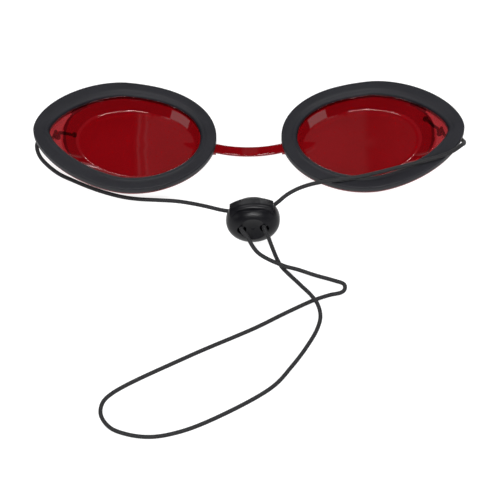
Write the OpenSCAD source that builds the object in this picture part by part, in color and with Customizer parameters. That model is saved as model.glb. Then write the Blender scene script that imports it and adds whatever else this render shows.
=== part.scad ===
// Corded eyecup goggles for laser and light treatment, lying with the lenses down and the face side up.
// X runs from the left eyecup to the right one, Y away from the cord lock, Z up from the table.
// Every eyecup outline is an egg: round at the nose, pointed at the temple.

/* [Eyecups] */
// Clear distance between the two gaskets at the nose
nose_gap = 21.1; // [18:0.1:30]
// Overall length of a gasket, nose to temple
cup_length = 59.3; // [50:0.1:66]
// Overall height of a gasket
cup_height = 43.7; // [38:0.1:50]
// Distance from a gasket's nose end to its highest place
cup_widest = 29.7; // [26:0.1:32]
// Roundness of the outlines at the nose end, 2 is an ellipse
nose_round = 2; // [1.9:0.05:2.3]
// Roundness of the gasket's outer edge at the temple end
temple_round = 1.72; // [1.6:0.02:2]
// How far the cups are wrapped round the face: angle of the temple half
wrap_angle = 7.4; // [4:0.2:10]
// Radius of the wrap bend
wrap_radius = 90; // [70:5:120]
// Distance from the middle plane to the start of the wrap bend
wrap_start = 28; // [26:0.5:32]

/* [Gaskets] */
// Width of the gasket ring
gasket_w = 5.2; // [4:0.1:6.4]
// Thickness of the gasket ring
gasket_t = 2.25; // [1.8:0.05:4]
// Bevel along the gasket's edges
gasket_bevel = 0.5; // [0.3:0.1:0.8]
// Thickness of the glue film under the gasket
glue_t = 0.05; // [0.05:0.01:0.2]

/* [Eyecup shells] */
// Length of the lens window
lens_length = 38; // [34:0.5:40]
// Height of the lens window
lens_height = 26.4; // [22:0.2:28]
// Distance from the gasket opening's nose end to the lens window
lens_inset = 1.8; // [1.4:0.1:2.6]
// Thickness of the lens floor
lens_t = 3.1; // [2.4:0.1:3.4]
// Thickness of the cup's wall
wall_t = 1.3; // [1:0.1:1.6]
// Height of the gasket seat over the table
seat_z = 5.65; // [5.1:0.05:6.4]
// Thickness of the flange under the gasket
flange_t = 1.1; // [1.1:0.05:1.4]
// How far the gasket stands out past the flange
flange_inset = 0.5; // [0.1:0.05:0.8]
// Height of the lip that locates the gasket
lip_h = 1.3; // [0.8:0.05:1.6]
// Thickness of the lip
lip_t = 0.8; // [0.6:0.05:1]
// Clearance between the lip and the gasket
lip_gap = 0.1; // [0.05:0.05:0.2]
// Distance from the middle plane to the crease where the temple shelf begins
crease_x = 59.9; // [58.5:0.1:61]
// Radius of that crease
crease_r = 15; // [13:0.5:18]
// Fillet between the lens floor and the wall
floor_fillet = 1.2; // [0.8:0.1:1.6]

/* [Cord lugs] */
// Length of a lug, along the cord's hole
lug_length = 2.8; // [2:0.1:3.2]
// Distance from the gasket's temple end to the lug
lug_inset = 2.6; // [2.3:0.1:4]
// Height of the cord's hole over the table
lug_z = 5.2; // [5:0.05:5.4]
// Offset of the lug from the cup's middle line
lug_y = 1.5; // [0:0.1:2]
// Material round the cord's hole
lug_wall = 0.9; // [0.7:0.05:1]

/* [Nose bridge] */
// Width of the strip
bridge_w = 3.5; // [2.4:0.1:4]
// Thickness of the strip
bridge_t = 0.95; // [0.8:0.05:0.95]
// How far the strip bows down towards the table
bridge_sag = 1.9; // [1:0.1:2.2]
// Offset of the strip from the cups' middle line
bridge_y = -3.1; // [-4:0.1:2]

/* [Cord] */
// Diameter of the elastic cord
cord_d = 1.3; // [1.2:0.05:1.4]
// Clearance round the cord in the lugs and in the lock's grip
cord_gap = 0.3; // [0.1:0.05:0.4]
// Diameter of the knots
knot_d = 3.2; // [2.8:0.1:3.2]

/* [Cord lock] */
// Width of the barrel across the cord holes
lock_w = 17.2; // [15.5:0.1:18]
// Height of the barrel's oval
lock_h = 15.2; // [14.4:0.1:17]
// Height of the barrel's shoulder over its middle
shoulder = 6.6; // [5.6:0.1:6.8]
// Radius of the shoulder's arch
shoulder_r = 14; // [12:0.5:18]
// Thickness of the barrel along the cord holes
lock_t = 10.6; // [9.6:0.2:12]
// Fullness of the barrel's profile, 2 is an ellipse
lock_full = 2.6; // [2.2:0.1:3.4]
// Angle by which the barrel leans back
lock_lean = 14; // [8:1:20]
// Angle by which the barrel is rolled towards the left
lock_roll = 5; // [0:1:8]
// Width of the dish round the cord holes
dish_d = 11; // [10:0.2:12]
// Depth of the dish
dish_depth = 1.1; // [0.7:0.1:1.3]
// Diameter of the cord holes
hole_d = 3; // [2.95:0.05:3.2]
// Distance between the cord holes
hole_pitch = 7.2; // [7:0.1:7.6]
// Width of the push button
button_w = 13.9; // [12.6:0.1:14]
// Thickness of the push button
button_t = 5.2; // [5:0.1:6]
// Height of the button's top over the barrel's middle
button_top = 7.8; // [7.6:0.1:8.4]
// Radius of the button's crown
crown_r = 13; // [12:0.2:16]
// Rounding along the button's crown, front and back
button_edge = 1.5; // [1:0.1:2]
// Travel of the push button
button_travel = 1.45; // [1.3:0.05:1.5]
// Running clearance on each side of the button
slide_gap = 0.08; // [0.05:0.01:0.15]
// Outer diameter of the spring
spring_d = 3.2; // [2.8:0.1:3.3]
// Diameter of the spring's wire
wire_d = 0.45; // [0.35:0.05:0.5]
// Number of spring turns
spring_turns = 6; // [4:1:7]

/* [Hidden] */

stations = 64;
cord_sides = 8;
round_fn = 48;
skin = 0.15;
red = "firebrick";
rubber = "dimgray";
nylon = "darkslategray";

// An egg is [nose x, temple x, widest x, half height, nose roundness, temple roundness].
gasket_outer = [nose_gap / 2, nose_gap / 2 + cup_length, nose_gap / 2 + cup_widest, cup_height / 2,
                nose_round, temple_round];
opening = concat_ends(grow(gasket_outer, -gasket_w), nose_round, temple_round - 0.15);
lip_outer = grow(opening, -lip_gap);
lip_inner = grow(lip_outer, -lip_t);
flange_edge = grow(gasket_outer, -flange_inset);
lens_nose = opening[0] + lens_inset;
lens_edge = [lens_nose, lens_nose + lens_length, lens_nose + 0.53 * lens_length, lens_height / 2,
             nose_round, 2.05];
lens_bottom = grow(lens_edge, 0.9);

flange_bottom = seat_z - flange_t;
gasket_bottom = seat_z + glue_t;
gasket_top = gasket_bottom + gasket_t;
lens_middle = [lens_edge[2], 0];

lug_x = nose_gap / 2 + cup_length - lug_inset - lug_length;
lug_hole_r = cord_d / 2 + cord_gap;
lug_r = lug_hole_r + lug_wall;

tab_reach = 0.15;
tab_t = bridge_t + 0.1;
bridge_end = nose_gap / 2 + tab_reach;
bridge_z = seat_z - flange_t / 2;
bridge_r = (bridge_end * bridge_end + bridge_sag * bridge_sag) / (2 * bridge_sag);

lock_pos = [1.15, -33.5, 7.75];
hole_x = hole_pitch / 2;
mouth = lock_t / 2 - dish_depth;
grip_y = hole_d / 2 - cord_d / 2 - 0.075;
slot_t = button_t + 2 * slide_gap;
slot_w = button_w + 2 * slide_gap;
button_bottom = -(hole_d / 2 + 1.3) + button_travel;
slot_floor = button_bottom - button_travel - 0.1;
spring_room = spring_d + 0.5;
spring_floor = -(lock_h / 2 - 1.8);
spring_roof = button_bottom + 5.6;
spring_seat_gap = 0.05;

// Centre line of the spring, 8 points a turn, from the barrel's pocket up to the button's.
spring_low = spring_floor + spring_seat_gap + wire_d / 2;
spring_high = spring_roof - spring_seat_gap - wire_d / 2;
spring_steps = spring_turns * 8;
spring_coil = [for (i = [0 : spring_steps]) let (a = 360 * i / 8)
    [(spring_d - wire_d) / 2 * cos(a), (spring_d - wire_d) / 2 * sin(a),
     spring_low + (spring_high - spring_low) * i / spring_steps]];
spring_gap = min([for (i = [0 : spring_steps - 4], j = [i + 4 : spring_steps])
    norm(spring_coil[i] - spring_coil[j])]) - wire_d;
echo(least_gap_between_spring_turns = spring_gap);

knot_gap = 0.1;
knot_x = lug_x - knot_gap - knot_d / 2;
cord_start = 64.4;

// Free routes of the cord, chosen by hand. The ends that run through the lock come from its sizes.
left_route = concat([[-64.4, 1.5, 5.2], [-67.1, 1.5, 5.2], [-68.3, 0.9, 5.2], [-69, -0.9, 5.2],
    [-68.8, -3.3, 4.9], [-67.7, -5.7, 4.2], [-65.2, -8.4, 3.4], [-61.5, -11.3, 2.7], [-57, -13.6, 2.3],
    [-51.5, -16.2, 2], [-46, -18.4, 1.9], [-40.5, -20.1, 1.9], [-35.5, -21, 2], [-29.5, -21.5, 2.1],
    [-23.5, -22.2, 2.4], [-18.5, -23.5, 2.9], [-13.5, -25.3, 3.6], [-9.8, -26.8, 4.1], [-7.2, -27.8, 4.7],
    [-5.5, -28.2, 5.2], [-4.2, -28, 6.2]],
    [in_lock(-hole_x - 0.3, -4.7), in_lock(-hole_x, -3.2), in_lock(-hole_x, mouth)]);
right_route = concat([[64.4, 1.5, 5.2], [67.1, 1.5, 5.2], [68.3, 0.9, 5.4], [69.1, -0.3, 5.9],
    [69.6, -1.8, 6.8], [69.8, -3.4, 8.3], [69.5, -5.4, 10.1], [68.5, -7.5, 12], [66.9, -9.5, 12.9],
    [64.4, -11.25, 12.9], [61, -12.45, 12.5], [56.5, -13.55, 11.9], [51.5, -14.65, 11.25],
    [46.2, -15.75, 10.55], [41, -16.85, 9.9], [36, -17.8, 9.3], [31, -18.5, 9.05], [25.5, -19.25, 8.9],
    [20.5, -19.95, 8.4], [15.5, -21.3, 7.5], [11.9, -23.1, 6.6], [9.3, -25.2, 5.9], [7.4, -26.8, 5.8],
    [6, -27.7, 6.3]],
    [in_lock(hole_x + 0.3, -4.7), in_lock(hole_x, -3.2), in_lock(hole_x, mouth)]);
loop_route = concat([in_lock(-hole_x, mouth), in_lock(-hole_x, mouth + 1.3)],
    [[-1, -40.5, 8.9], [2.6, -45, 5.9], [10.4, -47.9, 2.9], [15.4, -48.8, 1.7], [20.9, -50.4, 0.8],
    [26.4, -52.2, 0.65], [29.8, -53.7, 0.65], [30.1, -55, 0.65], [29.7, -56.2, 0.65], [28.6, -57, 0.65],
    [25.3, -57.8, 0.65], [20.3, -59.7, 0.65], [11.3, -64.5, 0.65], [1.8, -70, 0.65], [-19.3, -80.6, 0.65],
    [-42.3, -93.7, 0.65], [-45.4, -97.3, 0.65], [-45.8, -101.7, 0.65], [-42.9, -106.2, 0.65],
    [-37.4, -108.7, 0.65], [-30.4, -109.6, 0.65], [-22.4, -108.1, 0.65], [-12.4, -103.9, 0.65],
    [6.7, -92, 0.65], [12.7, -84.7, 0.65], [17.7, -77.1, 0.65], [21.1, -70.4, 0.7], [22.1, -66.2, 1.3],
    [21.3, -62.3, 2.1], [19.2, -58.7, 2.1], [15.9, -54.1, 1.1], [10, -46.8, 0.9], [8.7, -45.2, 2.6],
    [6.7, -42.9, 7.9], [5.8, -41, 9.4]],
    [in_lock(hole_x, mouth + 1.3), in_lock(hole_x, mouth)]);

// Moves an egg's edge out by d all round.
function grow(e, d) = [e[0] - d, e[1] + d, e[2], e[3] + d, e[4], e[5]];
function concat_ends(e, nose, temple) = [e[0], e[1], e[2], e[3], nose, temple];

// Point of an egg at angle a, 0 at the temple.
function egg_point(e, a) =
    let (r = cos(a) > 0 ? e[5] : e[4], reach = cos(a) > 0 ? e[1] - e[2] : e[2] - e[0])
    [e[2] + reach * sign(cos(a)) * pow(abs(cos(a)), 2 / r), e[3] * sign(sin(a)) * pow(abs(sin(a)), 2 / r)];

// Rise of the cup over its flat nose half at distance x from the middle plane.
function wrap_rise(x) =
    let (bend = wrap_radius * tan(wrap_angle), in_bend = min(max(x - wrap_start, 0), bend))
    in_bend * in_bend / (2 * wrap_radius) + max(x - wrap_start - bend, 0) * tan(wrap_angle);
function wrapped(p, z) = [p[0], p[1], z + wrap_rise(p[0])];

function angle_at(i) = 360 * i / stations;
function egg_ring(e, z) = [for (i = [0 : stations - 1]) wrapped(egg_point(e, angle_at(i)), z)];
function scaled_ring(e, s, z) = [for (i = [0 : stations - 1])
    wrapped(lens_middle + s * (egg_point(e, angle_at(i)) - lens_middle), z)];

// The wall follows the lip and is cut short by the crease at the temple, d is the distance outwards.
function wall_point(a, d) =
    let (p = egg_point(grow(lip_inner, d - skin), a), r = crease_r + d, q = [crease_x - crease_r, 0],
         away = norm(p - q))
    p[0] > q[0] && away > r ? q + (p - q) * r / away : p;
function wall_ring(d, z) = [for (i = [0 : stations - 1]) wrapped(wall_point(angle_at(i), d), z)];

// Point in the lock's own frame: x across the holes, z along them to the front, at the height of the cord.
function in_lock(x, z) =
    let (across = x * cos(lock_roll) - grip_y * sin(lock_roll),
         up = x * sin(lock_roll) + grip_y * cos(lock_roll))
    lock_pos + [across, up * sin(lock_lean) - z * cos(lock_lean), up * cos(lock_lean) + z * sin(lock_lean)];

// Skin over rings of points: closed round each ring, and from the first ring to the last.
function ring_faces(rings, n, close) = [
    for (j = [0 : rings - (close ? 1 : 2)], i = [0 : n - 1], half = [0, 1])
    let (a = j * n + i, b = j * n + (i + 1) % n, up = ((j + 1) % rings) * n,
         c = up + (i + 1) % n, d = up + i)
    half == 0 ? [a, b, c] : [a, c, d]];

module ring_skin(rings) {
    polyhedron(points = [for (r = rings) each r], faces = ring_faces(len(rings), len(rings[0]), true));
}

// Skin over rings, with a point at each end.
module capped_skin(first, rings, last) {
    n = len(rings[0]);
    body = [for (f = ring_faces(len(rings), n, false)) [f[0] + 1, f[1] + 1, f[2] + 1]];
    bottom = [for (i = [0 : n - 1]) [0, (i + 1) % n + 1, i + 1]];
    base = 1 + (len(rings) - 1) * n;
    top = [for (i = [0 : n - 1]) [base + n, base + i, base + (i + 1) % n]];
    polyhedron(points = concat([first], [for (r = rings) each r], [last]),
        faces = concat(bottom, body, top));
}

// Tube along a route, one ring at each point, square to the route there.
module tube(route, d, sides) {
    last = len(route) - 1;
    rings = [for (k = [0 : last])
        let (way = unit(route[min(k + 1, last)] - route[max(k - 1, 0)]), side = unit(cross(way, [0, 0, 1])),
             top = cross(side, way))
        [for (i = [0 : sides - 1]) let (a = 360 * (i + 0.5) / sides)
            route[k] + d / 2 * (cos(a) * side + sin(a) * top)]];
    capped_skin(route[0], rings, route[last]);
}
function unit(v) = v / norm(v);

// Rod between two points.
module rod(from, to, d) {
    way = to - from;
    translate(from) rotate([0, acos(way[2] / norm(way)), atan2(way[1], way[0])])
        cylinder(h = norm(way), d = d, $fn = 24);
}

module eyecup_shell() {
    rings = [
        scaled_ring(lens_edge, 0.5, lens_t),
        scaled_ring(grow(lens_edge, -floor_fillet), 1, lens_t),
        scaled_ring(grow(lens_edge, -0.3 * floor_fillet), 1, lens_t + 0.2 * floor_fillet),
        scaled_ring(lens_edge, 1, lens_t + 0.6 * floor_fillet),
        wall_ring(0, seat_z),
        egg_ring(lip_inner, seat_z),
        egg_ring(lip_inner, seat_z + lip_h - 0.15),
        egg_ring(grow(lip_inner, 0.2), seat_z + lip_h),
        egg_ring(lip_outer, seat_z + lip_h),
        egg_ring(lip_outer, seat_z),
        egg_ring(flange_edge, seat_z),
        egg_ring(flange_edge, flange_bottom),
        wall_ring(wall_t, flange_bottom),
        scaled_ring(lens_bottom, 1, 0.6 * floor_fillet),
        scaled_ring(grow(lens_bottom, -0.3 * floor_fillet), 1, 0.2 * floor_fillet),
        scaled_ring(grow(lens_bottom, -floor_fillet), 1, 0),
        scaled_ring(lens_edge, 0.5, 0)
    ];
    capped_skin(wrapped(lens_middle, lens_t), [for (r = rings) r], wrapped(lens_middle, 0));
}

// Half loop under the flange that the cord is tied in.
module cord_lug() {
    lug_top = flange_bottom + wrap_rise(lug_x) + flange_t / 2;
    translate([lug_x, lug_y, lug_z]) difference() {
        union() {
            rotate([0, 90, 0]) cylinder(h = lug_length, r = lug_r, $fn = round_fn);
            translate([0, -lug_r, 0]) cube([lug_length, 2 * lug_r, lug_top - lug_z]);
        }
        translate([-1, 0, 0]) rotate([0, 90, 0])
            cylinder(h = lug_length + 2, r = lug_hole_r, $fn = round_fn);
    }
}

// Square seat on the flange's nose edge where the strip begins.
module bridge_tab() {
    translate([bridge_end, bridge_y - bridge_w / 2 - 0.4, bridge_z - tab_t / 2])
        cube([gasket_w / 2, bridge_w + 0.8, tab_t]);
}

module eyecup() {
    color(red) union() {
        eyecup_shell();
        cord_lug();
        bridge_tab();
    }
}

module gasket() {
    color(rubber) ring_skin([
        egg_ring(opening, gasket_bottom),
        egg_ring(opening, gasket_top - gasket_bevel),
        egg_ring(grow(opening, gasket_bevel * 0.3), gasket_top - gasket_bevel * 0.3),
        egg_ring(grow(opening, gasket_bevel), gasket_top),
        egg_ring(grow(gasket_outer, -gasket_bevel), gasket_top),
        egg_ring(grow(gasket_outer, -gasket_bevel * 0.3), gasket_top - gasket_bevel * 0.3),
        egg_ring(gasket_outer, gasket_top - gasket_bevel),
        egg_ring(gasket_outer, gasket_bottom)
    ]);
}

module left_eyecup() { mirror([1, 0, 0]) eyecup(); }
module right_eyecup() { eyecup(); }
module left_gasket() { mirror([1, 0, 0]) gasket(); }
module right_gasket() { gasket(); }

module nose_bridge() {
    color(red) translate([0, bridge_y + bridge_w / 2, 0]) rotate([90, 0, 0]) linear_extrude(bridge_w)
        intersection() {
            translate([0, bridge_z - bridge_sag + bridge_r]) difference() {
                circle(r = bridge_r + bridge_t / 2, $fn = 200);
                circle(r = bridge_r - bridge_t / 2, $fn = 200);
            }
            translate([-bridge_end, bridge_z - bridge_sag - bridge_t])
                square([2 * bridge_end, bridge_sag + 2 * bridge_t]);
        }
}

module cord_left() { color(nylon) tube(left_route, cord_d, cord_sides); }
module cord_right() { color(nylon) tube(right_route, cord_d, cord_sides); }
module cord_loop() { color(nylon) tube(loop_route, cord_d, cord_sides); }

// Overhand knot against the lug's nose face, its stub in the lug, and its tail with a melted end.
module knot(tail_end) {
    middle = [knot_x, lug_y, lug_z];
    color(nylon) union() {
        translate(middle) sphere(d = knot_d * 0.8, $fn = 32);
        for (tilt = [-24, 24])
            translate(middle) rotate([0, 90, 0]) rotate([tilt, tilt, 0])
                rotate_extrude($fn = 32) translate([knot_d / 2 - cord_d * 0.45, 0])
                    circle(d = cord_d * 0.9, $fn = 16);
        rod(middle, [cord_start, lug_y, lug_z], cord_d);
        rod(middle, tail_end, cord_d);
        translate(tail_end) sphere(d = cord_d * 1.35, $fn = 24);
    }
}
module left_knot() { mirror([1, 0, 0]) knot([58, 4.4, 2.6]); }
module right_knot() { knot([57.6, 9.6, 2.3]); }

// Places a piece drawn in the lock's own frame: x across the holes, y to the button, z to the front.
module at_lock() {
    translate(lock_pos) rotate([90 - lock_lean, 0, 0]) rotate([0, 0, lock_roll]) children();
}

module barrel_profile() {
    steps = 20;
    half = lock_t / 2;
    polygon([for (i = [-steps : steps]) let (a = 90 * i / steps)
        [lock_w / 2 * pow(cos(a), 2 / lock_full), half * sign(a) * pow(abs(sin(a)), 2 / lock_full)]]);
}

// Oval barrel, flattened to a shoulder where the button comes out.
module barrel() {
    intersection() {
        scale([1, lock_h / lock_w, 1]) rotate_extrude($fn = 72) barrel_profile();
        translate([0, shoulder - shoulder_r, -lock_t]) cylinder(h = 2 * lock_t, r = shoulder_r, $fn = 96);
    }
}

module dish(side) {
    dish_r = (dish_d * dish_d / 4 + dish_depth * dish_depth) / (2 * dish_depth);
    translate([0, 0, side * (lock_t / 2 - dish_depth + dish_r)]) sphere(r = dish_r, $fn = 96);
}

module cord_holes(lift) {
    for (side = [-1, 1])
        translate([side * hole_x, lift, -lock_t]) cylinder(h = 2 * lock_t, d = hole_d, $fn = round_fn);
}

module spring_bore(from, to) {
    translate([0, from, 0]) rotate([-90, 0, 0]) cylinder(h = to - from, d = spring_room, $fn = round_fn);
}

module lock_body() {
    color(nylon) at_lock() difference() {
        barrel();
        translate([-slot_w / 2, slot_floor, -slot_t / 2]) cube([slot_w, lock_h, slot_t]);
        spring_bore(spring_floor, 0);
        cord_holes(0);
        dish(1);
        dish(-1);
    }
}

// Half section of the crown's disc: its rounded rim is the button's top.
module crown_profile() {
    translate([0, -button_t / 2]) square([crown_r - button_edge, button_t]);
    translate([0, button_edge - button_t / 2]) square([crown_r, button_t - 2 * button_edge]);
    for (side = [-1, 1])
        translate([crown_r - button_edge, side * (button_t / 2 - button_edge)])
            circle(r = button_edge, $fn = round_fn);
}

module lock_plunger() {
    color(nylon) at_lock() difference() {
        intersection() {
            translate([0, button_top - crown_r, 0]) rotate_extrude($fn = 120) crown_profile();
            translate([-button_w / 2, button_bottom, -button_t])
                cube([button_w, 2 * crown_r, 2 * button_t]);
        }
        spring_bore(button_bottom - 1, spring_roof);
        cord_holes(button_travel);
    }
}

module lock_spring() {
    color("silver") at_lock() rotate([-90, 0, 0]) tube(spring_coil, wire_d, 6);
}

left_eyecup();
right_eyecup();
nose_bridge();
left_gasket();
right_gasket();
cord_left();
cord_right();
cord_loop();
left_knot();
right_knot();
lock_body();
lock_plunger();
lock_spring();
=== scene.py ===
import math
import bmesh
import bpy
from mathutils import Matrix, Vector


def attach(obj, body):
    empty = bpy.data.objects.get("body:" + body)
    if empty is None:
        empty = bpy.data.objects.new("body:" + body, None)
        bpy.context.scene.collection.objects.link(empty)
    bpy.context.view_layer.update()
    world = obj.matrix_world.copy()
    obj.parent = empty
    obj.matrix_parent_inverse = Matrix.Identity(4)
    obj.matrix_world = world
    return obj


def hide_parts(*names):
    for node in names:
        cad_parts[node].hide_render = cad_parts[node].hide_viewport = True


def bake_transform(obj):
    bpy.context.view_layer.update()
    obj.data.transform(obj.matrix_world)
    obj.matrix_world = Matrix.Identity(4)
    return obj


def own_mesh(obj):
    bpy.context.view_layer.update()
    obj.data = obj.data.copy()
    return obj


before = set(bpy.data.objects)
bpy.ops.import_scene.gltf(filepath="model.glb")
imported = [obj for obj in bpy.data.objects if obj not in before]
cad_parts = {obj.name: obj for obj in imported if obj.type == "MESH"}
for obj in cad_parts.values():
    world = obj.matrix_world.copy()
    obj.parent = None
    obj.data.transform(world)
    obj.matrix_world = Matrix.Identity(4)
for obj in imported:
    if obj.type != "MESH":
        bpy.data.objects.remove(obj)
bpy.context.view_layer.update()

# Every size below is in millimetres, as in the part's source, and goes to metres when a mesh is made.
MM = 0.001


def vec(p):
    return Vector(p)


# ---------------------------------------------------------------- camera
# The camera stands 0.9 m away, looks down and is rolled by a third of a degree, as the photograph is.
# Its place is in metres and its sensor in millimetres.
CAMERA_AT = (0.00015, -0.54617, 0.72306)
LOOKS_DOWN, ROLLED = math.radians(55), math.radians(-0.33)
VIEW_ANGLE, SENSOR = math.radians(10.33), 36

camera = bpy.data.cameras.new("camera")
camera.sensor_fit = "HORIZONTAL"
camera.sensor_width = SENSOR
camera.lens = SENSOR / (2 * math.tan(VIEW_ANGLE / 2))
camera.clip_start = 0.01
camera.clip_end = 20
camera_ob = bpy.data.objects.new("camera", camera)
bpy.context.collection.objects.link(camera_ob)
camera_ob.matrix_world = (Matrix.Translation(CAMERA_AT) @ Matrix.Rotation(math.pi / 2 - LOOKS_DOWN, 4, "X")
                          @ Matrix.Rotation(ROLLED, 4, "Z"))
bpy.context.scene.camera = camera_ob


# ---------------------------------------------------------------- mesh helpers
def mesh_object(name, points, faces, uvs=None, angle=40):
    """Smooth object from points in millimetres, with edges sharp past the angle."""
    mesh = bpy.data.meshes.new(name)
    mesh.from_pydata([[c * MM for c in p] for p in points], [], faces)
    mesh.update()
    if uvs:
        layer = mesh.uv_layers.new(name="along")
        for loop in mesh.loops:
            layer.data[loop.index].uv = uvs[loop.vertex_index]
    for poly in mesh.polygons:
        poly.use_smooth = True
    mesh.set_sharp_from_angle(angle=math.radians(angle))
    ob = bpy.data.objects.new(name, mesh)
    bpy.context.collection.objects.link(ob)
    return ob


def loft(rings, caps=None, closed=False):
    """Points and outward faces over rings of points; caps are the first and last point."""
    n = len(rings[0])
    points = [p for r in rings for p in r]
    faces = []
    count = len(rings)
    for j in range(count if closed else count - 1):
        a, b = j * n, (j + 1) % count * n
        for i in range(n):
            k = (i + 1) % n
            faces.append((a + i, b + i, b + k, a + k))
    if caps:
        first, last = len(points), len(points) + 1
        points += [caps[0], caps[1]]
        end = (count - 1) * n
        for i in range(n):
            k = (i + 1) % n
            faces.append((first, i, k))
            faces.append((end + i, last, end + k))
    return points, faces


def flip_if_inside_out(ob):
    """Turns the faces outward, as a mirrored side needs."""
    bm = bmesh.new()
    bm.from_mesh(ob.data)
    if bm.calc_volume(signed=True) < 0:
        bmesh.ops.reverse_faces(bm, faces=bm.faces)
        bm.to_mesh(ob.data)
    bm.free()
    return ob


def boolean(ob, other, operation):
    """Joins or cuts ob with the other object, which is used up."""
    mod = ob.modifiers.new("cut", "BOOLEAN")
    mod.operation = operation
    mod.solver = "EXACT"
    mod.object = other
    graph = bpy.context.evaluated_depsgraph_get()
    mesh = bpy.data.meshes.new_from_object(ob.evaluated_get(graph))
    ob.modifiers.clear()
    ob.data = mesh
    bpy.data.objects.remove(other)


def prism(outline, x0, x1, y, z, side):
    """Closed bar along X with an outline in y and z."""
    n = len(outline)
    points = [(side * x, y + p[0], z + p[1]) for x in (x0, x1) for p in outline]
    faces = [tuple(range(n)), tuple(range(2 * n - 1, n - 1, -1))]
    faces += [(i, n + i, n + (i + 1) % n, (i + 1) % n) for i in range(n)]
    ob = mesh_object("bar", points, faces)
    bm = bmesh.new()
    bm.from_mesh(ob.data)
    bmesh.ops.recalc_face_normals(bm, faces=bm.faces)
    bm.to_mesh(ob.data)
    bm.free()
    return ob


# ---------------------------------------------------------------- shader helpers
class Nodes:
    """Node tree of a material or of the world; an input is a constant or another node's output."""

    def __init__(self, owner, output="ShaderNodeOutputMaterial"):
        owner.use_nodes = True
        self.owner, self.tree = owner, owner.node_tree
        self.tree.nodes.clear()
        self.output = self.add(output)

    def add(self, kind, inputs=None, **settings):
        node = self.tree.nodes.new(kind)
        for key, value in settings.items():
            setattr(node, key, value)
        for key, value in (inputs or {}).items():
            if isinstance(value, bpy.types.NodeSocket):
                self.tree.links.new(value, node.inputs[key])
            else:
                node.inputs[key].default_value = value
        return node

    def math(self, operation, a, b=0.0):
        return self.add("ShaderNodeMath", {0: a, 1: b}, operation=operation).outputs[0]

    def ramp(self, value, low, high, to_low, to_high, curve="LINEAR"):
        return self.add("ShaderNodeMapRange", {"Value": value, "From Min": low, "From Max": high,
                                               "To Min": to_low, "To Max": to_high},
                        interpolation_type=curve).outputs[0]

    def fade(self, value, low, high, to_low, to_high):
        return self.ramp(value, low, high, to_low, to_high, "SMOOTHSTEP")

    def noise(self, where, scale, detail, rough):
        return self.add("ShaderNodeTexNoise", {"Vector": where, "Scale": scale, "Detail": detail,
                                               "Roughness": rough}).outputs["Fac"]

    def place(self):
        return self.add("ShaderNodeTexCoord").outputs["Object"]

    def mix_colour(self, factor, a, b):
        return self.add("ShaderNodeMix", {0: factor, 6: a, 7: b}, data_type="RGBA").outputs[2]

    def mix_value(self, factor, a, b):
        return self.add("ShaderNodeMix", {0: factor, 2: a, 3: b}, data_type="FLOAT").outputs[0]

    def bump(self, height, strength, distance):
        return self.add("ShaderNodeBump", {"Height": height, "Strength": strength,
                                           "Distance": distance}).outputs["Normal"]

    def show(self, shader):
        self.tree.links.new(shader.outputs[0], self.output.inputs["Surface"])
        return self.owner

    def surface(self, inputs):
        return self.show(self.add("ShaderNodeBsdfPrincipled", inputs))


def new_material(name):
    return Nodes(bpy.data.materials.new(name))


def linear(r, g, b):
    """Linear colour of an sRGB one given from 0 to 255."""
    def channel(c):
        return c / 255 / 12.92 if c <= 10 else ((c / 255 + 0.055) / 1.055) ** 2.4
    return channel(r), channel(g), channel(b), 1.0


def red_plastic():
    """Clear red plastic; a little scatter veils what is seen through it.

    The mesh's painted_light attribute paints light and shade into the tint: paler above 0, up to 1 on the temple
    shelf, and darker below 0, down to -1 in the shelf's crease.
    """
    m = new_material("red plastic")
    where = m.place()
    painted_light = m.add("ShaderNodeAttribute", attribute_name="painted_light").outputs["Fac"]
    swirl = m.noise(where, 60, 2, 0.4)
    tint = m.mix_colour(m.ramp(swirl, 0.35, 0.65, 0, 1), linear(127, 5, 12), linear(132, 7, 15))
    # Painted light: the paler tint (160, 49, 54) on the temple shelf, and a painted highlight on the floor's temple
    # edge
    tint = m.mix_colour(m.ramp(painted_light, 0, 1, 0, 1), tint, linear(160, 49, 54))
    # Painted shade: the darker tint (64, 4, 8) in the shelf's crease, just below it and on the walls
    tint = m.mix_colour(m.ramp(painted_light, 0, -1, 0, 1), tint, linear(64, 4, 8))
    wave = m.bump(m.noise(where, 45, 1, 0.3), 0.2, 0.0003)
    return m.surface({"Base Color": tint, "Roughness": 0.02, "IOR": 1.02, "Transmission Weight": 0.85,
                      "Coat Weight": 1.0, "Coat IOR": 1.5, "Coat Roughness": 0.02, "Coat Normal": wave})


def foam_rubber():
    m = new_material("gasket rubber")
    where = m.place()
    fine = m.noise(where, 2600, 3, 0.6)
    broad = m.noise(where, 120, 3, 0.5)
    cells = m.add("ShaderNodeTexVoronoi", {"Vector": where, "Scale": 1500}, feature="SMOOTH_F1")
    pits = cells.outputs["Distance"]
    grain = m.math("ADD", m.math("MULTIPLY", fine, 0.5), m.math("MULTIPLY", broad, 0.5))
    tone = m.mix_colour(m.ramp(grain, 0.35, 0.65, 0, 1), linear(19, 19, 25), linear(26, 26, 33))
    height = m.math("ADD", m.math("MULTIPLY", fine, 0.7), m.math("MULTIPLY", pits, 0.5))
    return m.surface({"Base Color": tone, "Roughness": m.ramp(broad, 0.3, 0.7, 0.48, 0.56),
                      "Specular IOR Level": 0.34, "Normal": m.bump(height, 0.3, 0.00005)})


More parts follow.
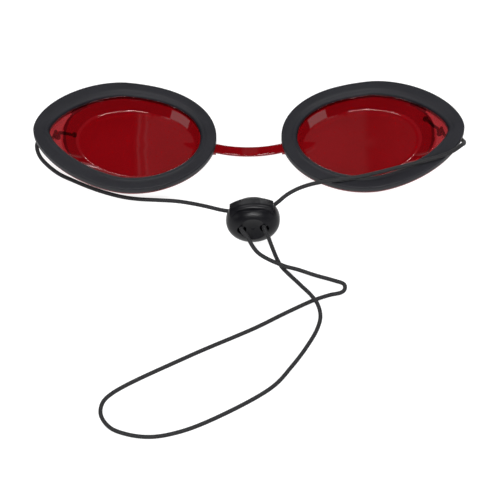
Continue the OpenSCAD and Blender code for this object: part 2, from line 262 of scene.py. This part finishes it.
def braided_cord():
    """Two sets of strands cross on the cord's own UV, which runs around it and along it in metres."""
    strands_round, pitch = 6, 0.0011
    m = new_material("braided cord")
    uv = m.add("ShaderNodeUVMap", uv_map="along").outputs[0]
    split = m.add("ShaderNodeSeparateXYZ", {0: uv})
    around, along = split.outputs[0], split.outputs[1]
    strands = []
    for turn in (strands_round, -strands_round):
        phase = m.math("ADD", m.math("MULTIPLY", around, turn * 2 * math.pi),
                       m.math("MULTIPLY", along, 2 * math.pi / pitch))
        strands.append(m.math("SINE", phase))
    weave = m.math("MULTIPLY", strands[0], strands[1])
    fuzz = m.noise(m.place(), 5000, 2, 0.6)
    # The weave's colour follows its height: darker in the hollows between the strands, painted shade
    tone = m.mix_colour(m.ramp(weave, -1, 1, 0, 1), linear(27, 27, 29), linear(44, 44, 46))
    height = m.math("ADD", m.math("MULTIPLY", weave, 0.5), m.math("MULTIPLY", fuzz, 0.3))
    return m.surface({"Base Color": tone, "Roughness": m.ramp(fuzz, 0.3, 0.7, 0.6, 0.8),
                      "Specular IOR Level": 0.3, "Normal": m.bump(height, 0.5, 0.00008), "Sheen Weight": 0.06,
                      "Sheen Roughness": 0.4})


def satin_nylon():
    m = new_material("cord lock nylon")
    where = m.place()
    spark = m.noise(where, 3500, 3, 0.6)
    broad = m.noise(where, 150, 2, 0.5)
    tone = m.mix_colour(m.ramp(broad, 0.3, 0.7, 0, 1), linear(12, 12, 16), linear(17, 17, 21))
    rough = m.ramp(m.math("ADD", spark, broad), 0.8, 1.2, 0.3, 0.4)
    return m.surface({"Base Color": tone, "Roughness": rough, "Specular IOR Level": 0.24,
                      "Normal": m.bump(spark, 0.18, 0.00005)})


def spring_wire():
    m = new_material("spring wire")
    tone = m.mix_colour(m.noise(m.place(), 900, 3, 0.5), linear(150, 152, 156), linear(190, 191, 194))
    rough = m.ramp(m.noise(m.place(), 2000, 2, 0.5), 0.3, 0.7, 0.22, 0.34)
    return m.surface({"Base Color": tone, "Roughness": rough, "Metallic": 1.0})


PLASTIC, RUBBER, CORD = red_plastic(), foam_rubber(), braided_cord()
NYLON, WIRE = satin_nylon(), spring_wire()


def dress(ob, material):
    ob.data.materials.clear()
    ob.data.materials.append(material)
    return ob


# ---------------------------------------------------------------- cord lock frame
LOCK = vec((1.15, -33.5, 7.75))
LEAN, ROLL = math.radians(14), math.radians(5)
# The gripped cord's height in the lock's frame, its distance from the middle, and how far out the barrel's face is
GRIP, HOLE_X, MOUTH = 0.775, 3.6, 4.2


def in_lock(x, y, z):
    """Point of the lock's own frame: x across the holes, y to the button, z along the holes to the front."""
    turn = Matrix.Rotation(math.pi / 2 - LEAN, 3, "X") @ Matrix.Rotation(ROLL, 3, "Z")
    return LOCK + turn @ vec((x, y, z))


# ---------------------------------------------------------------- cords
CORD_D = 1.3
ON_TABLE = CORD_D / 2
# Where the cord leaves the lug of each cup
CORD_END, LUG_Y, LUG_Z = 64.4, 1.5, 5.2


def through_lock(side):
    """The cord's way from behind the lock to the barrel's front."""
    return [in_lock(side * (HOLE_X + 0.3), GRIP, -4.7), in_lock(side * HOLE_X, GRIP, -3.2),
            in_lock(side * HOLE_X, GRIP, MOUTH)]


LEFT = [(-CORD_END, LUG_Y, LUG_Z), (-67.1, LUG_Y, LUG_Z), (-68.3, 0.9, 5.2), (-69, -0.9, 5.2),
        (-68.8, -3.3, 4.9), (-67.7, -5.7, 4.2), (-65.2, -8.4, 3.4), (-61.5, -11.3, 2.7), (-57, -13.6, 2.3),
        (-51.5, -16.2, 2), (-46, -18.4, 1.9), (-40.5, -20.1, 1.9), (-35.5, -21, 2), (-29.5, -21.5, 2.1),
        (-23.5, -22.2, 2.4), (-18.5, -23.5, 2.9), (-13.5, -25.3, 3.6), (-9.8, -26.8, 4.1),
        (-7.2, -27.8, 4.7), (-5.5, -28.2, 5.2), (-4.2, -28, 6.2)] + through_lock(-1)
RIGHT = [(CORD_END, LUG_Y, LUG_Z), (67.1, LUG_Y, LUG_Z), (68.3, 0.9, 5.4), (69.1, -0.3, 5.9),
         (69.6, -1.8, 6.8), (69.8, -3.4, 8.3), (69.5, -5.4, 10.1), (68.5, -7.5, 12), (66.9, -9.5, 12.9),
         (64.4, -11.25, 12.9), (61, -12.45, 12.5), (56.5, -13.55, 11.9), (51.5, -14.65, 11.25),
         (46.2, -15.75, 10.55), (41, -16.85, 9.9), (36, -17.8, 9.3), (31, -18.5, 9.05), (25.5, -19.25, 8.9),
         (20.5, -19.95, 8.4), (15.5, -21.3, 7.5), (11.9, -23.1, 6.6), (9.3, -25.2, 5.9), (7.4, -26.8, 5.8),
         (6, -27.7, 6.3)] + through_lock(1)
LOOP_DOWN = [(-1, -40.5, 8.9), (2.6, -45, 5.9), (10.4, -47.9, 2.9), (15.4, -48.8, 1.7), (20.9, -50.4, 0.8)]
LOOP_FLAT = [(26.4, -52.2), (29.8, -53.7), (30.1, -55), (29.7, -56.2), (28.6, -57), (25.3, -57.8),
             (20.3, -59.7), (11.3, -64.5), (1.8, -70), (-19.3, -80.6), (-42.3, -93.7), (-45.4, -97.3),
             (-45.8, -101.7), (-42.9, -106.2), (-37.4, -108.7), (-30.4, -109.6), (-22.4, -108.1),
             (-12.4, -103.9), (6.7, -92), (12.7, -84.7), (17.7, -77.1)]
LOOP_UP = [(21.1, -70.4, 0.7), (22.1, -66.2, 1.3), (21.3, -62.3, 2.1), (19.2, -58.7, 2.1), (15.9, -54.1, 1.1),
           (10, -46.8, 0.9), (8.7, -45.2, 2.6), (6.7, -42.9, 7.9), (5.8, -41, 9.4)]
LOOP = ([in_lock(-HOLE_X, GRIP, MOUTH), in_lock(-HOLE_X, GRIP, MOUTH + 1.3)] + LOOP_DOWN
        + [(x, y, ON_TABLE) for x, y in LOOP_FLAT] + LOOP_UP
        + [in_lock(HOLE_X, GRIP, MOUTH + 1.3), in_lock(HOLE_X, GRIP, MOUTH)])


def smooth_route(points, step):
    """Centripetal curve through the points, sampled about every step millimetres."""
    pts = [vec(p) for p in points]
    pts = [pts[0] * 2 - pts[1]] + pts + [pts[-1] * 2 - pts[-2]]
    out = []
    for i in range(1, len(pts) - 2):
        p0, p1, p2, p3 = pts[i - 1:i + 3]
        t0 = 0.0
        t1 = t0 + (p1 - p0).length ** 0.5
        t2 = t1 + (p2 - p1).length ** 0.5
        t3 = t2 + (p3 - p2).length ** 0.5
        count = max(2, round((p2 - p1).length / step))
        for k in range(count):
            t = t1 + (t2 - t1) * k / count
            a1 = p0 * ((t1 - t) / (t1 - t0)) + p1 * ((t - t0) / (t1 - t0))
            a2 = p1 * ((t2 - t) / (t2 - t1)) + p2 * ((t - t1) / (t2 - t1))
            a3 = p2 * ((t3 - t) / (t3 - t2)) + p3 * ((t - t2) / (t3 - t2))
            b1 = a1 * ((t2 - t) / (t2 - t0)) + a2 * ((t - t0) / (t2 - t0))
            b2 = a2 * ((t3 - t) / (t3 - t1)) + a3 * ((t - t1) / (t3 - t1))
            out.append(b1 * ((t2 - t) / (t2 - t1)) + b2 * ((t - t1) / (t2 - t1)))
    out.append(pts[-2])
    return out


def tube(name, route, diameter, sides=16):
    """Closed tube swept without twist along the route, with UV around and along it in metres."""
    n = len(route)
    side = None
    rings, uvs, run = [], [], 0.0
    for k, p in enumerate(route):
        way = (route[min(k + 1, n - 1)] - route[max(k - 1, 0)]).normalized()
        if side is None:
            side = way.orthogonal().normalized()
        side = (side - way * side.dot(way)).normalized()
        up = way.cross(side)
        if k:
            run += (p - route[k - 1]).length
        ring = []
        for i in range(sides + 1):
            a = 2 * math.pi * i / sides
            ring.append(p + (side * math.cos(a) + up * math.sin(a)) * diameter / 2)
            uvs.append((i / sides, run * MM))
        rings.append(ring)
    points = [p for r in rings for p in r]
    faces = []
    w = sides + 1
    for k in range(n - 1):
        for i in range(sides):
            a = k * w + i
            faces.append((a, a + 1, a + 1 + w, a + w))
    for k in (0, n - 1):
        centre = len(points)
        points.append(route[k])
        uvs.append((0.5, run * MM * (k > 0)))
        for i in range(sides):
            a, b = k * w + i, k * w + i + 1
            faces.append((centre, a, b) if k else (centre, b, a))
    ob = mesh_object(name, points, faces, uvs, 50)
    bm = bmesh.new()
    bm.from_mesh(ob.data)
    bmesh.ops.remove_doubles(bm, verts=bm.verts, dist=1e-7)
    bm.to_mesh(ob.data)
    bm.free()
    return ob


def cord(name, node, points):
    route = smooth_route(points, 0.7)
    ob = dress(tube(name, route, CORD_D), CORD)
    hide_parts(node)
    return ob


def knot(name, node, body, side, centre, tail):
    """Overhand knot drawn tight: its stub runs into the lug, its tail ends in a melted bead."""
    centre, tail = vec(centre), vec(tail)
    thick, size, depth, open_end, steps = 1.05, 0.42, 0.62, 0.3, 28
    bead_r_m = 0.00095
    turns = []
    for k in range(steps + 1):
        t = 3 * math.pi - open_end - (2 * math.pi - 2 * open_end) * k / steps
        across = (math.sin(t) + 2 * math.sin(2 * t), math.cos(t) - 2 * math.cos(2 * t))
        turns.append(centre + vec((-depth * math.sin(3 * t), -across[1] * size, across[0] * size)))
    if turns[0].x < turns[-1].x:
        turns.reverse()
    route = [vec((CORD_END, LUG_Y, LUG_Z)), vec((CORD_END - 0.4, LUG_Y + 0.05, LUG_Z))] + turns
    route += [turns[-1].lerp(tail, 0.3) + vec((-0.2, 0, 0)), turns[-1].lerp(tail, 0.65), tail]
    route = smooth_route([vec((side * p.x, p.y, p.z)) for p in route], 0.15)
    ob = tube(name, route, thick, 14)
    bead = bmesh.new()
    bead.from_mesh(ob.data)
    end, way = route[-1] * MM, (route[-1] - route[-4]).normalized()
    sphere = bmesh.ops.create_uvsphere(bead, u_segments=20, v_segments=14, radius=bead_r_m)["verts"]
    turn = way.to_track_quat("Z", "Y").to_matrix()
    for v in sphere:
        v.co = turn @ Vector((v.co.x, v.co.y, v.co.z * 0.8)) + end
    bead.to_mesh(ob.data)
    bead.free()
    for poly in ob.data.polygons:
        poly.use_smooth = True
    dress(ob, CORD)
    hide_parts(node)
    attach(ob, body)
    return ob


def spring_coil():
    """The coil under the button, drawn again as a tube of wire."""
    floor_y, low, high, radius, wire = -5.8, -5.525, 3.975, 1.375, 0.45
    turns, sides = 6, 24
    coil = []
    for k in range(turns * sides + 1):
        a = 2 * math.pi * k / sides
        y = low + (high - low) * k / (turns * sides)
        coil.append(in_lock(radius * math.cos(a), y, -radius * math.sin(a)))
    ob = dress(tube("spring_coil", coil, wire, 12), WIRE)
    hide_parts("lock_spring")
    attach(ob, "root")
    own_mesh(ob)
    return ob


knot_left = knot("knot_left", "left_knot", "root", -1, (62.5, 2.9, 5.2), (57.2, 4.9, 2.3))
knot_right = knot("knot_right", "right_knot", "right_cup", 1, (62.4, 3.5, 5.1), (58.1, 10.6, 2.4))
left_cord = cord("elastic_cord_left", "cord_left", LEFT)
right_cord = cord("elastic_cord_right", "cord_right", RIGHT)
lock_pieces = [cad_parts["lock_body"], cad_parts["lock_plunger"], spring_coil()]
loop_cord = cord("elastic_cord_loop", "cord_loop", LOOP)
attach(left_cord, "root")
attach(loop_cord, "root")
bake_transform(right_cord)

# ---------------------------------------------------------------- eyecups and gaskets
STATIONS = 224
NOSE_GAP, CUP_L, CUP_H, WIDEST = 21.1, 59.3, 43.7, 29.7
GASKET_W, GASKET_B, GASKET_T = 5.2, 5.7, 2.25
SEAT, FLANGE_T, LIP_H, LIP_T, LIP_GAP = 5.65, 1.1, 1.3, 0.8, 0.1
LENS_T, WALL_T, FILLET = 3.1, 1.3, 1.2
LENS_L, LENS_H, LENS_INSET = 38.0, 26.4, 1.8
CREASE_X, CREASE_R = 59.9, 15.0
CREASE_MID = CREASE_X - CREASE_R
# How far the wall stands inside the lip, and how much more its top and the lip lean out on the far nose side
WALL_BACK, NOSE_LEAN = 0.15, 0.5
LUG_X, LUG_R, LUG_HOLE_R, LUG_L = 64.45, 1.85, 0.95, 2.8
# Values of the painted light (shelf, highlight on the floor's temple edge) and painted shade (crease, walls) that
# the red plastic reads
PAINTED_SHELF_LIGHT, PAINTED_CREASE_SHADE, PAINTED_SHADE_BELOW_CREASE, PAINTED_FLOOR_EDGE_HIGHLIGHT, PAINTED_WALL_SHADE = 1.0, -1.0, -0.3, 0.3, -0.36
WRAP_START, WRAP_R, WRAP_TAN = 28.0, 90.0, math.tan(math.radians(7.4))


def grow(e, d):
    """Egg outline moved out by d; it is nose end, temple end, widest x, half height and the two powers."""
    return [e[0] - d, e[1] + d, e[2], e[3] + d, e[4], e[5]]


def power(value, exponent):
    return math.copysign(abs(value) ** exponent, value)


def egg_point(e, a):
    """Point of an egg outline at the angle a, from its widest x."""
    c, s = math.cos(a), math.sin(a)
    r = e[5] if c > 0 else e[4]
    reach = e[1] - e[2] if c > 0 else e[2] - e[0]
    return e[2] + reach * power(c, 2 / r), e[3] * power(s, 2 / r)


def rise(x):
    """How far the cup bends up toward the temple at x."""
    bend = WRAP_R * WRAP_TAN
    inside = min(max(x - WRAP_START, 0), bend)
    return inside * inside / (2 * WRAP_R) + max(x - WRAP_START - bend, 0) * WRAP_TAN


OUTER = [NOSE_GAP / 2, NOSE_GAP / 2 + CUP_L, NOSE_GAP / 2 + WIDEST, CUP_H / 2, 2.0, 1.72]
OPENING = grow(OUTER, -GASKET_W)[:4] + [2.0, 1.57]
LIP_OUT = grow(OPENING, -LIP_GAP)
LIP_IN = grow(LIP_OUT, -LIP_T)
FLANGE = grow(OUTER, -0.5)
LENS_NOSE = OPENING[0] + LENS_INSET
LENS = [LENS_NOSE, LENS_NOSE + LENS_L, LENS_NOSE + 0.53 * LENS_L, LENS_H / 2, 2.0, 2.05]
LENS_FOOT = grow(LENS, 0.9)
BRIDGE_END, BRIDGE_Y, BRIDGE_W = NOSE_GAP / 2 + 0.15, -3.1, 3.5
ANGLES = [2 * math.pi * i / STATIONS for i in range(STATIONS)]
# The stations crowd where the superellipse turns fast, so the angle is eased near the four ends.
EASING = 0.144
EASED = [a - EASING * math.sin(4 * a) for a in ANGLES]


def lifted(x, y, z, side):
    return side * x, y, z + rise(x)


def egg_ring(e, z, side, scale=1.0):
    out = []
    for a in EASED:
        x, y = egg_point(e, a)
        out.append(lifted(LENS[2] + (x - LENS[2]) * scale, y * scale, z, side))
    return out


def wall_xy(a, d):
    """Point of the wall moved out by d; the temple end is cut back to the crease's circle."""
    x, y = egg_point(grow(LIP_IN, d - WALL_BACK), a)
    away, r = math.hypot(x - CREASE_MID, y), CREASE_R + d
    if x > CREASE_MID and away > r:
        return CREASE_MID + (x - CREASE_MID) * r / away, y * r / away
    return x, y


def wall_ring(d, z, side):
    return [lifted(*wall_xy(a, d), z, side) for a in EASED]


def between(ring_a, ring_b, t, lift):
    return [tuple(p + (q - p) * t + (lift if i == 2 else 0) for i, (p, q) in enumerate(zip(a, b)))
            for a, b in zip(ring_a, ring_b)]


def rounded(ring_a, ring_b, ring_c, reach, steps):
    """Rings that turn the corner at ring_b from ring_a to ring_c on a curve of that reach, one for all or each."""
    if not isinstance(reach, list):
        reach = [reach] * len(ring_b)
    out = []
    for k in range(steps + 1):
        t = k / steps
        ring = []
        for a, b, c, r in zip(ring_a, ring_b, ring_c, reach):
            a, b, c = vec(a), vec(b), vec(c)
            p = b + (a - b).normalized() * min(r, (a - b).length * 0.45)
            q = b + (c - b).normalized() * min(r, (c - b).length * 0.45)
            ring.append(tuple(p * (1 - t) ** 2 + b * 2 * t * (1 - t) + q * t ** 2))
        out.append(ring)
    return out


def flare(a):
    """How far the wall leans out on the far nose side, from 0 to 1."""
    return math.exp(-((a - 2.55) / 0.5) ** 2)


def fillet(a):
    """Reach of the curve between the lens floor and the wall: wide at the temple, tight on the far nose side."""
    table = ((0, 1.0), (40, 0.9), (65, 0.45), (95, 0.35), (108, 0.1), (160, 0.1), (185, 0.2), (205, 0.5),
             (240, 0.45), (300, 0.6), (330, 0.9), (360, 1.0))
    angle = math.degrees(a)
    for (low, x), (high, y) in zip(table, table[1:]):
        if angle <= high:
            return x + (y - x) * max(angle - low, 0) / (high - low)
    return table[-1][1]


def floor_ring(inset, side, scale=1.0, lift=0.0):
    """Ring on the lens floor, inset by so many fillets; it reaches a little further on the far side."""
    out = []
    for a in EASED:
        x, y = egg_point(grow(LENS, -inset * fillet(a) - 0.4 * flare(a)), a)
        y *= 1.025 if y > 0 else 1.0
        out.append(lifted(LENS[2] + (x - LENS[2]) * scale, y * scale, LENS_T + lift * flare(a), side))
    return out


def beside_shelf(a):
    """1 beside the temple shelf, where the lip stands upright, and 0 round the rest of the cup."""
    return math.exp(-(math.sin(a / 2) / 0.3) ** 4)


def lip_ring(lean, z, side):
    """Inner side of the lip: upright beside the temple shelf, and elsewhere leaning out on the wall's own slope."""
    out = []
    for a in EASED:
        d = min(NOSE_LEAN * flare(a) + lean * (1 - beside_shelf(a)), 0.68)
        out.append(lifted(*egg_point(grow(LIP_IN, d), a), z, side))
    return out


def arc(radius, start, turn, steps, count):
    """Points on a circle from the start angle on, each a further part of the turn."""
    angles = [start + turn * i / steps for i in range(count)]
    return [(radius * math.cos(a), radius * math.sin(a)) for a in angles]


def add_lug(ob, s):
    """Hangs the cord's lug under the flange and bores it."""
    top = SEAT - FLANGE_T + rise(LUG_X) + FLANGE_T / 2 - LUG_Z
    outline = arc(LUG_R, math.pi, math.pi, 24, 25) + [(LUG_R, top), (-LUG_R, top)]
    boolean(ob, prism(outline, LUG_X, LUG_X + LUG_L, LUG_Y, LUG_Z, s), "UNION")
    bore = arc(LUG_HOLE_R, 0, 2 * math.pi, 32, 32)
    boolean(ob, prism(bore, LUG_X - 1, LUG_X + LUG_L + 1, LUG_Y, LUG_Z, s), "DIFFERENCE")


def add_tab(ob, s):
    """Block at the nose that holds the end of the strip."""
    half_w, half_t = BRIDGE_W / 2 + 0.4, 0.525
    tab = [(-half_w, -half_t), (half_w, -half_t), (half_w, half_t), (-half_w, half_t)]
    boolean(ob, prism(tab, BRIDGE_END, BRIDGE_END + GASKET_W / 2, BRIDGE_Y, SEAT - FLANGE_T / 2, s), "UNION")


def paint_light_on_faces(ob):
    """Paints light on the shelf and a highlight on the floor's temple edge, and shade in the crease and on the
    walls.
    """
    painted_light = ob.data.attributes.new("painted_light", "FLOAT", "FACE")
    for poly in ob.data.polygons:
        x, y, z = (c / MM for c in poly.center)
        out = math.hypot(abs(x) - CREASE_MID, y) - CREASE_R
        high = z - rise(abs(x))
        value = 0.0
        if abs(x) > CREASE_MID + 6 and high > SEAT - 1.3 and -0.6 < out < 8:
            if out >= 0.5:
                value = PAINTED_SHELF_LIGHT
            else:
                value = PAINTED_CREASE_SHADE if high > SEAT - 0.5 else PAINTED_SHADE_BELOW_CREASE
        elif abs(x) > LENS[2] + 9 and 0.03 < high - LENS_T < 0.5:
            value = PAINTED_FLOOR_EDGE_HIGHLIGHT
        elif LENS_T + 0.3 < high < SEAT + LIP_H - 0.05 and 0.3 < poly.normal.z < 0.93:
            value = PAINTED_WALL_SHADE
        painted_light.data[poly.index].value = value


def eyecup(name, node, body, side):
    s = side
    flange_low = SEAT - FLANGE_T
    wall_top = [lifted(*wall_xy(a, NOSE_LEAN * flare(a) + 0.14 * (1 - beside_shelf(a))), SEAT, s) for a in EASED]
    crease = [0.06 + 0.6 * math.exp(-(math.sin(a / 2) / 0.45) ** 2) for a in EASED]
    # The section's corners from the lens floor over the lip and round the flange to the foot: ring, reach of the
    # rounding and its steps. The lip's outer foot stays sharp, and the last ring only gives a direction.
    corners = [(floor_ring(1.3, s), 0, 0),
               (floor_ring(0, s, lift=0.45), [fillet(a) for a in EASED], 7),
               (wall_top, crease, 5),
               (lip_ring(0, SEAT + 0.05, s), 0.12, 3),
               (lip_ring(0.65, SEAT + LIP_H, s), 0.12, 4),
               (egg_ring(LIP_OUT, SEAT + LIP_H, s), 0.12, 3),
               (egg_ring(LIP_OUT, SEAT, s), 0, 0),
               (egg_ring(FLANGE, SEAT, s), 0.2, 3),
               (egg_ring(FLANGE, flange_low, s), 0.25, 3),
               (wall_ring(WALL_T, flange_low, s), 0.3, 4),
               (egg_ring(LENS_FOOT, 0, s), FILLET, 6),
               (egg_ring(grow(LENS_FOOT, -FILLET * 1.6), 0, s), 0, 0)]
    rings = [floor_ring(0, s, k) for k in (0.25, 0.5, 0.75)] + [corners[0][0]]
    for before, (ring, reach, steps), after in zip(corners, corners[1:], corners[2:]):
        rings += rounded(before[0], ring, after[0], reach, steps) if steps else [ring]
    rings += [egg_ring(LENS, 0, s, k) for k in (0.75, 0.5, 0.25)]
    middle = LENS[2]
    points, faces = loft(rings, (lifted(middle, 0, LENS_T, s), lifted(middle, 0, 0, s)))
    ob = flip_if_inside_out(mesh_object(name, points, faces, angle=35))
    add_lug(ob, s)
    add_tab(ob, s)
    ob.data.set_sharp_from_angle(angle=math.radians(35))
    paint_light_on_faces(ob)
    dress(ob, PLASTIC)
    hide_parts(node)
    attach(ob, body)


def gasket(name, node, body, side):
    s = side
    low, high = GASKET_B, GASKET_B + GASKET_T
    inner_drop, crown = 0.22, 0.06
    in_low, in_high = egg_ring(OPENING, low, s), egg_ring(OPENING, high - inner_drop, s)
    out_high, out_low = egg_ring(OUTER, high, s), egg_ring(OUTER, low, s)
    rings = rounded(out_low, in_low, in_high, 0.12, 2)
    rings += rounded(in_low, in_high, out_high, 1.5, 9)
    rings += [between(in_high, out_high, t, crown * 4 * t * (1 - t)) for t in (0.3, 0.5, 0.7)]
    rings += rounded(in_high, out_high, out_low, 0.55, 7)
    rings += rounded(out_high, out_low, in_low, 0.2, 3)
    points, faces = loft(rings, closed=True)
    ob = flip_if_inside_out(mesh_object(name, points, faces, angle=60))
    dress(ob, RUBBER)
    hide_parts(node)
    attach(ob, body)


eyecup("eyecup_left", "left_eyecup", "root", -1)
eyecup("eyecup_right", "right_eyecup", "right_cup", 1)
gasket("gasket_left", "left_gasket", "root", -1)
gasket("gasket_right", "right_gasket", "right_cup", 1)


# ---------------------------------------------------------------- nose bridge
def nose_bridge():
    """Strip that sags in an arc from tab to tab; its ends are cut upright."""
    end, sag, thick, wide, middle_y, z = BRIDGE_END, 1.9, 0.95, BRIDGE_W, BRIDGE_Y, SEAT - FLANGE_T / 2
    steps, sides, squareness = 40, 24, 0.35
    radius = (end * end + sag * sag) / (2 * sag)
    rings = []
    for k in range(steps + 1):
        x = end * (2 * k / steps - 1)
        a = math.asin(x / radius)
        centre = vec((radius * math.sin(a), middle_y, z - sag + radius * (1 - math.cos(a))))
        up = vec((-math.sin(a), 0, math.cos(a))) if 0 < k < steps else vec((0, 0, 1))
        ring = []
        for i in range(sides):
            b = 2 * math.pi * i / sides
            ring.append(centre + vec((0, 1, 0)) * power(math.cos(b), squareness) * wide / 2
                        + up * power(math.sin(b), squareness) * thick / 2)
        rings.append(ring)
    points, faces = loft(rings, (sum(rings[0], Vector()) / sides, sum(rings[-1], Vector()) / sides))
    ob = dress(flip_if_inside_out(mesh_object("nose_strip", points, faces, angle=50)), PLASTIC)
    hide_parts("nose_bridge")
    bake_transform(ob)


nose_bridge()

# ---------------------------------------------------------------- carried over pieces
for node in ("lock_body", "lock_plunger"):
    dress(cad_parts[node], NYLON)

# ---------------------------------------------------------------- floor, lamps and world
FLOOR_HALF, FLOOR_Z = 3, -0.00015
WHITE = (1, 1, 1, 1)
plane = bpy.data.meshes.new("floor")
plane.from_pydata([(-FLOOR_HALF, -FLOOR_HALF, 0), (FLOOR_HALF, -FLOOR_HALF, 0), (FLOOR_HALF, FLOOR_HALF, 0),
                   (-FLOOR_HALF, FLOOR_HALF, 0)], [], [(0, 1, 2, 3)])
floor = bpy.data.objects.new("floor", plane)
bpy.context.collection.objects.link(floor)
floor.location.z = FLOOR_Z
m = new_material("floor")
path = m.add("ShaderNodeLightPath")
diffuse = m.add("ShaderNodeBsdfDiffuse", {"Color": (0.35, 0.35, 0.355, 1)}).outputs[0]
plain = m.add("ShaderNodeEmission", {"Color": WHITE, "Strength": 1.0}).outputs[0]
glow = m.add("ShaderNodeEmission", {"Color": WHITE, "Strength": 0.86}).outputs[0]
lit = m.add("ShaderNodeAddShader", {0: diffuse, 1: glow}).outputs[0]
seen = m.add("ShaderNodeMixShader", {0: path.outputs["Is Camera Ray"], 1: diffuse, 2: lit}).outputs[0]
seen_by = m.math("MAXIMUM", path.outputs["Is Transmission Ray"], path.outputs["Is Glossy Ray"])
dress(floor, m.show(m.add("ShaderNodeMixShader", {0: seen_by, 1: seen, 2: plain})))

# The world is a white sweep behind the table with a pale strip over it; the rest of the room is dark.
world = bpy.data.worlds.new("studio")
bpy.context.scene.world = world
w = Nodes(world, "ShaderNodeOutputWorld")
way = w.add("ShaderNodeSeparateXYZ", {0: w.add("ShaderNodeTexCoord").outputs["Generated"]})
wx, wy, wz = way.outputs[0], way.outputs[1], way.outputs[2]
back = w.fade(wy, 0.2, 0.4, 0, 1)
# The range of x that the pale strip's profile covers, and its brightness at each x
STRIP_LEFT, STRIP_RIGHT = -0.2, 0.2
STOPS = [(-0.17, 0), (-0.12, 0.17), (0.045, 0.17), (0.056, 0.34), (0.068, 0.1), (0.084, 0.08),
         (0.098, 0.3), (0.11, 0.04), (0.13, 0)]
profile = w.add("ShaderNodeValToRGB", {0: w.ramp(wx, STRIP_LEFT, STRIP_RIGHT, 0, 1)})
while len(profile.color_ramp.elements) < len(STOPS):
    profile.color_ramp.elements.new(0.5)
for element, (x, level) in zip(profile.color_ramp.elements, STOPS):
    element.position = (x - STRIP_LEFT) / (STRIP_RIGHT - STRIP_LEFT)
    element.color = (level, level, level, 1)
strip = w.math("MULTIPLY", profile.outputs[0], w.fade(wz, 0.5, 0.6, 0, 1))
sweep = w.math("MULTIPLY", w.fade(w.math("ABSOLUTE", wx), 0.35, 0.5, 1, 0), w.fade(wz, 0.35, 0.55, 0.9, 0))
mirror = w.math("ADD", w.math("MULTIPLY", back, w.math("ADD", strip, sweep)), 0.015)
path = w.add("ShaderNodeLightPath")
plain = w.math("MAXIMUM", path.outputs["Is Camera Ray"], path.outputs["Is Transmission Ray"])
soft = w.mix_value(path.outputs["Is Glossy Ray"], 0.25, mirror)
w.show(w.add("ShaderNodeBackground", {"Color": WHITE, "Strength": w.mix_value(plain, soft, 1.0)}))


def softbox(name, where, width, height, power_w):
    """Rectangular lamp that faces the middle of the table; its place and size are in metres."""
    light = bpy.data.lights.new(name, "AREA")
    light.shape = "RECTANGLE"
    light.size, light.size_y = width, height
    light.energy = power_w
    ob = bpy.data.objects.new(name, light)
    bpy.context.collection.objects.link(ob)
    ob.location = where
    ob.rotation_euler = (Vector() - vec(where)).to_track_quat("-Z", "Y").to_euler()


softbox("upper left softbox", (-0.42, 0.05, 1.25), 0.42, 0.4, 5.5)
softbox("upper right softbox", (0.42, 0.05, 1.25), 0.42, 0.4, 5.5)
softbox("low left softbox", (-0.98, -0.44, 0.38), 0.6, 0.3, 0.7)
softbox("low right softbox", (0.98, -0.44, 0.38), 0.6, 0.3, 0.7)
softbox("front softbox", (0.0, -1.03, 0.9), 0.7, 0.13, 10.0)
softbox("back left softbox", (-0.3, 1.1, 0.4), 0.4, 0.035, 0.8)
softbox("back right softbox", (0.3, 1.1, 0.4), 0.4, 0.035, 0.8)
bpy.context.scene.view_settings.view_transform = "Standard"
